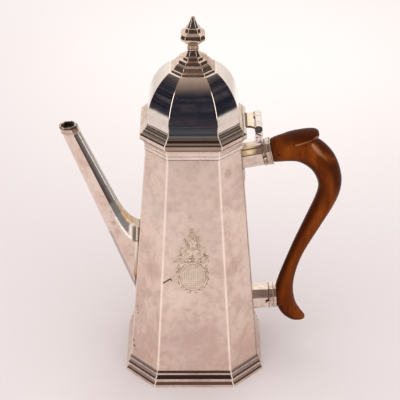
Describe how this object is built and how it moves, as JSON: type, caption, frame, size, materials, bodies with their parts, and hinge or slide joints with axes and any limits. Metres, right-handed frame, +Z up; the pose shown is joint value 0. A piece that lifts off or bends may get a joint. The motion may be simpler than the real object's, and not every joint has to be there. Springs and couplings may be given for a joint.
{
  "type": "coffee pot",
  "caption": "Tapering octagonal silver coffee pot with a straight faceted spout, a hinged domed lid with a baluster finial and an S-curved wooden handle held in sockets.",
  "frame": {"origin": "centre of the octagonal foot, on the table", "axes": "+Z up along the pot's axis; +X towards the handle, -X towards the spout; the lid's hinge pin lies along +Y"},
  "size_m": [0.1801, 0.0914, 0.25],
  "materials": {
    "body_silver": "satin sterling silver, softly worn, with faint blotchy tarnish",
    "polished_silver": "polished sterling silver mouldings, lid and finial, darker in the recesses",
    "pin_silver": "dull silver wire, darkened where it is worn",
    "handle_wood": "polished fruitwood, reddish brown, with soft grain"
  },
  "bodies": {
    "pot": {"body_wall": "body_silver", "base_plate": "body_silver", "foot_moulding": "polished_silver", "rim_moulding": "polished_silver", "spout": "body_silver", "spout_lip": "polished_silver", "upper_socket": "body_silver", "upper_collar": "polished_silver", "upper_drop": "polished_silver", "lower_socket": "body_silver", "lower_collar": "polished_silver", "upper_handle_pin": "pin_silver", "lower_handle_pin": "pin_silver", "handle": "handle_wood", "hinge_bracket": "polished_silver", "bracket_knuckle": "polished_silver", "hinge_pin": "pin_silver"},
    "lid": {"hinge_flange": "polished_silver", "near_knuckle": "polished_silver", "far_knuckle": "polished_silver", "lid_bezel": "body_silver", "lid_moulding": "polished_silver", "lid_dome": "polished_silver", "crown_plate": "polished_silver", "finial": "polished_silver", "finial_nut": "body_silver"}
  },
  "joints": [
    {"name": "lid_hinge", "type": "hinge", "parent": "pot", "child": "lid", "pos_m": [0.0408, 0, 0.1772], "axis": [0, 1, 0], "range_deg": [0, 110]}
  ]
}
